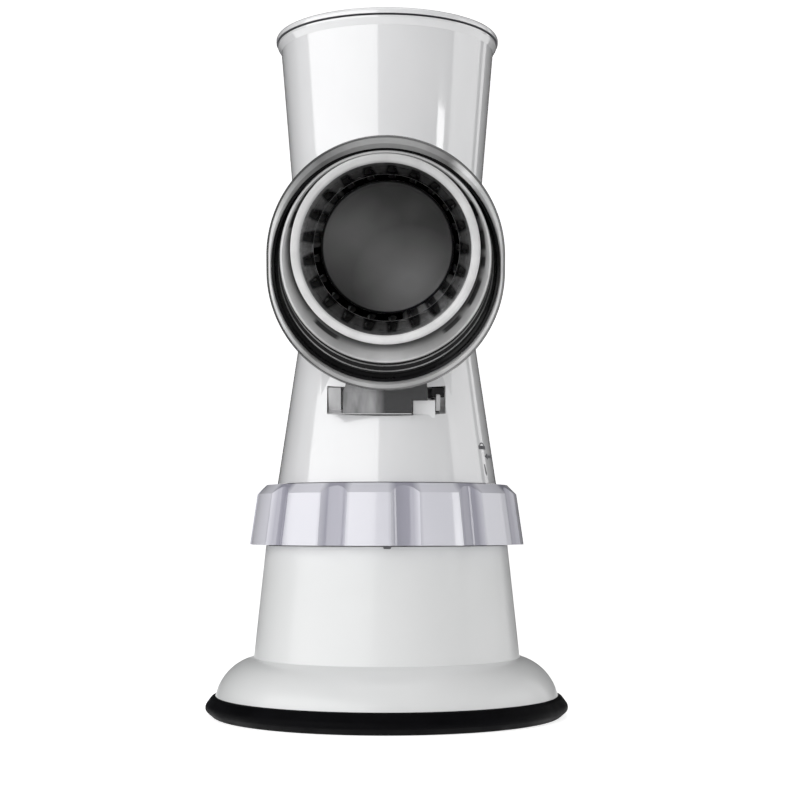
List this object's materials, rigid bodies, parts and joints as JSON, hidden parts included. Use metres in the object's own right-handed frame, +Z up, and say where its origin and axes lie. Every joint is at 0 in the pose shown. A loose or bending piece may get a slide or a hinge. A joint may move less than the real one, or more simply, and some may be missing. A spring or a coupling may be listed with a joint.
{
  "type": "rotary cabbage shredder",
  "caption": "Hand-cranked rotary shredder: hopper with pusher over a tilted drum barrel, clear drum holder, lock ring and suction foot.",
  "frame": {"origin": "centre of the suction cup's face on the table", "axes": "+Z up through the hopper, -Y towards the drum's mouth, +Y towards the crank"},
  "size_m": [0.134, 0.2158, 0.255],
  "materials": {
    "body_white": "glossy injection moulding",
    "ring_white": "glossy, slightly violet white",
    "smoky_clear": "smoky, see-through",
    "satin_white": "satin",
    "bush_grey": "satin nylon",
    "drum_steel": "brushed",
    "plate_steel": "plain rolled",
    "bright_steel": "zinc plated",
    "black_rubber": "smooth rubber"
  },
  "bodies": {
    "housing": {"upper_housing": "body_white", "lower_housing": "body_white", "suction_cup": "black_rubber", "rear_bush": "bush_grey", "shaft_seal": "black_rubber", "housing_screws": "bright_steel"},
    "pusher": {"pusher": "body_white", "pusher_plate": "body_white"},
    "holder": {"drum_holder": "smoky_clear"},
    "drum": {"drum_shell": "drum_steel", "drum_mouth_ring": "satin_white", "drum_end_plate": "plate_steel", "drum_hub": "satin_white"},
    "crank": {"crank_shaft": "bright_steel", "crank_arm": "body_white", "crank_washer": "bright_steel", "crank_screw": "bright_steel", "grip_pin": "bright_steel"},
    "grip": {"grip": "body_white", "grip_cap": "body_white"},
    "lock": {"lock_ring": "ring_white"},
    "lift": {"lift_spider": "bush_grey", "lift_pins": "bright_steel", "cup_stud": "bright_steel", "stud_washer": "bright_steel", "stud_nut": "bright_steel"}
  },
  "joints": [
    {"name": "pusher_slide", "type": "slide", "parent": "housing", "child": "pusher", "axis": [0, 0, 1], "range_m": [0, 0.105]},
    {"name": "holder_slide", "type": "slide", "parent": "housing", "child": "holder", "axis": [0, -0.9848, -0.1736], "range_m": [0, 0.1]},
    {"name": "drum_spin", "type": "hinge", "parent": "holder", "child": "drum", "pos_m": [0, 0, 0.1749], "axis": [0, -0.9848, -0.1736], "continuous": true},
    {"name": "crank_spin", "type": "hinge", "parent": "housing", "child": "crank", "pos_m": [0, 0, 0.1749], "axis": [0, -0.9848, -0.1736], "continuous": true},
    {"name": "grip_spin", "type": "hinge", "parent": "crank", "child": "grip", "pos_m": [0, 0.0125, 0.10399], "axis": [0, -0.9848, -0.1736], "continuous": true},
    {"name": "ring_turn", "type": "hinge", "parent": "housing", "child": "lock", "pos_m": [0, 0, 0.074], "axis": [0, 0, 1], "range_deg": [0, 60]},
    {"name": "lift_slide", "type": "slide", "parent": "housing", "child": "lift", "axis": [0, 0, 1], "range_m": [0, 0.004], "deforming": ["suction_cup"]}
  ],
  "couplings": [
    {"joint": "drum_spin", "follows": "crank_spin", "ratio": 1},
    {"joint": "lift_slide", "follows": "ring_turn", "m_per_rad": 0.0038197}
  ]
}
